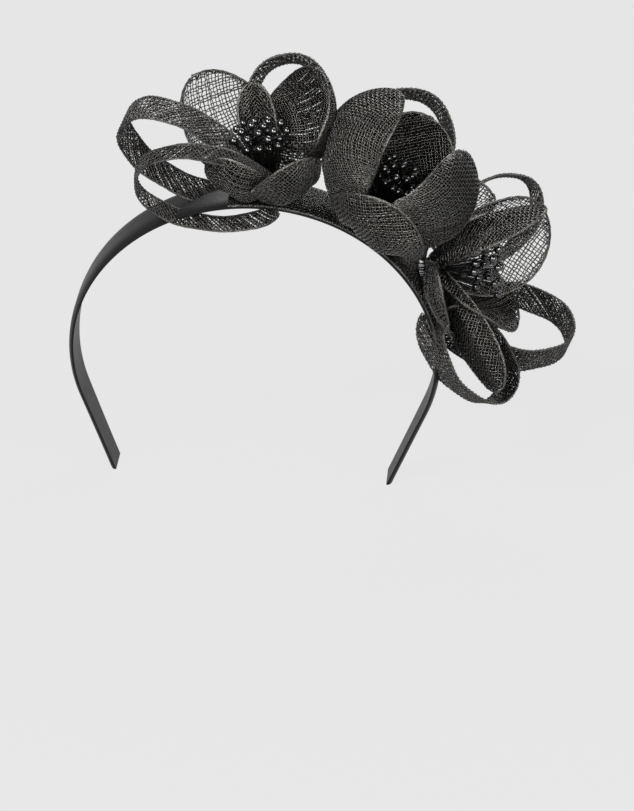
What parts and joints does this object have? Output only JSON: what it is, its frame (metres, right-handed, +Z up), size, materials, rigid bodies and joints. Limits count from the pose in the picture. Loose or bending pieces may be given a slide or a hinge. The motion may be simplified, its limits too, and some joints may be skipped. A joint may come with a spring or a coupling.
{
  "type": "fascinator",
  "caption": "Fascinator: a satin-covered headband carrying open woven flowers with beaded stamens and ribbon loops.",
  "frame": {"origin": "on the surface that the band stands on, below the middle of the whole fascinator", "axes": "+X to the wearer's left, -Y to the wearer's front, +Z up"},
  "size_m": [0.2154, 0.0878, 0.1816],
  "materials": {
    "satin": "satin",
    "sinamay": "matte",
    "beads": "gloss"
  },
  "bodies": {
    "root": {"headband": "satin", "base_strip": "sinamay", "stamens_1": "beads", "stamens_2": "beads", "stamens_3": "beads", "loop_1": "sinamay", "loop_2": "sinamay", "loop_3": "sinamay", "loop_4": "sinamay", "loop_5": "sinamay", "loop_6": "sinamay", "loop_7": "sinamay", "petal_1_left": "sinamay", "petal_1_back": "sinamay", "petal_1_right": "sinamay", "petal_1_front_right": "sinamay", "petal_1_front_left": "sinamay", "petal_2_left": "sinamay", "petal_2_back": "sinamay", "petal_2_back_right": "sinamay", "petal_2_right": "sinamay", "petal_2_front": "sinamay", "petal_3_left": "sinamay", "petal_3_back": "sinamay", "petal_3_right": "sinamay", "petal_3_lower": "sinamay", "petal_3_front": "sinamay"}
  },
  "joints": []
}
